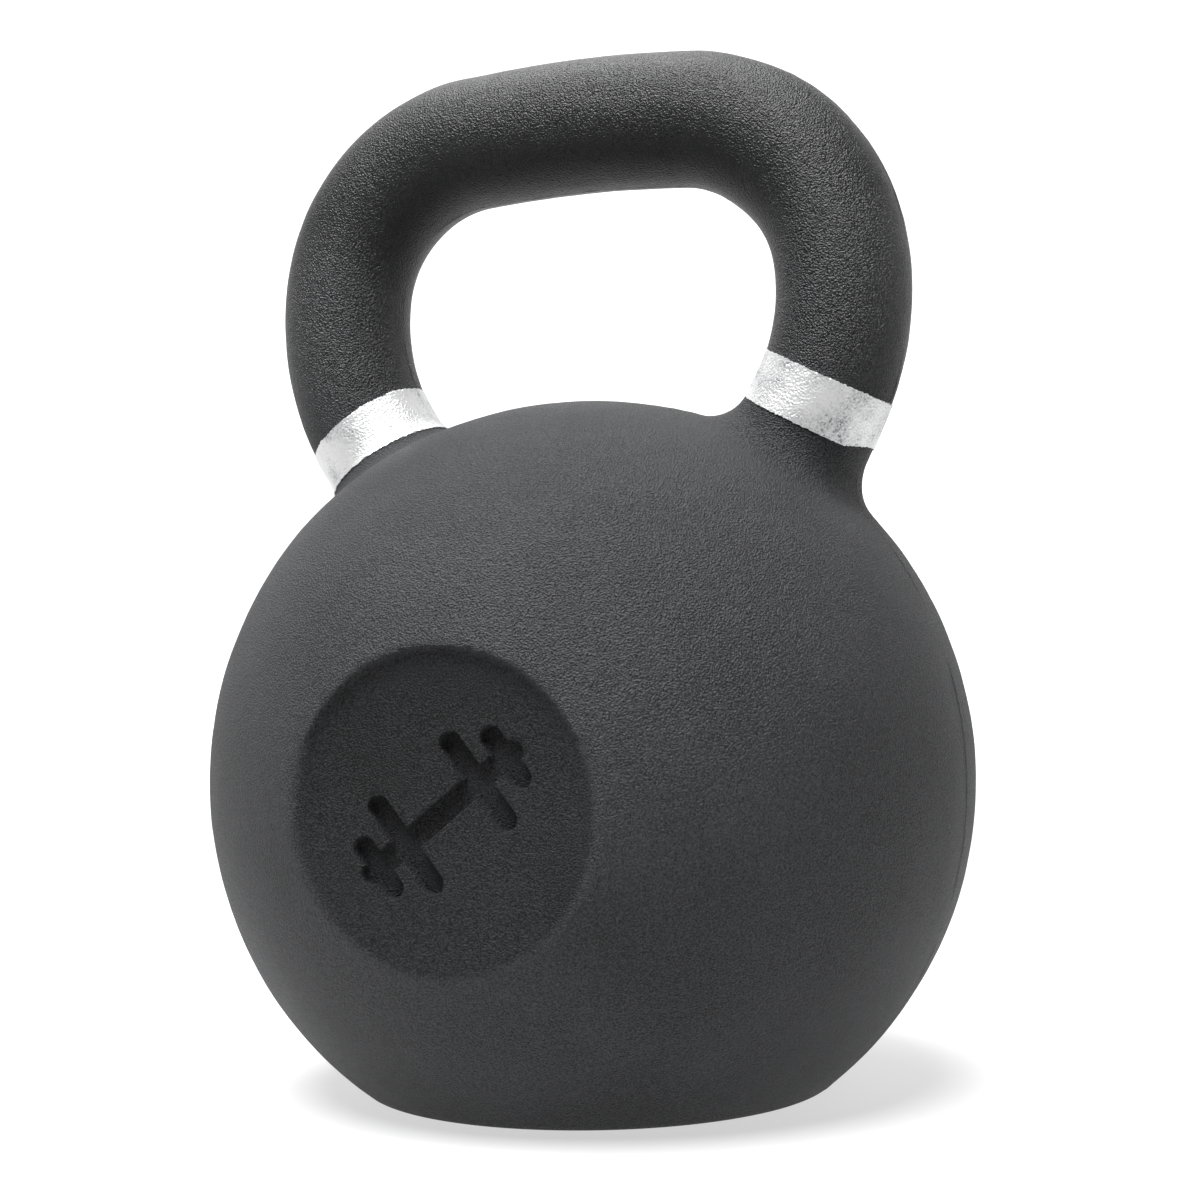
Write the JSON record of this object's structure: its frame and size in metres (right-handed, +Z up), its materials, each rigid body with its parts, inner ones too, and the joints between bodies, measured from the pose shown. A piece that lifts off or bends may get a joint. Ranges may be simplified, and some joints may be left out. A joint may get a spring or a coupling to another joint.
{
  "type": "kettlebell",
  "caption": "Round cast-iron kettlebell with a flat base, a wide arched handle, a sunk front disc and a band of paint round each horn.",
  "frame": {"origin": "middle of the flat base, on the floor", "axes": "+Z up; X along the grip; the ball's sunk disc faces -Y"},
  "size_m": [0.23, 0.2226, 0.3113],
  "materials": {
    "coated_iron": "matte",
    "silver_paint": "satin"
  },
  "bodies": {
    "root": {"casting": "coated_iron", "band_left": "silver_paint", "band_right": "silver_paint"}
  },
  "joints": []
}
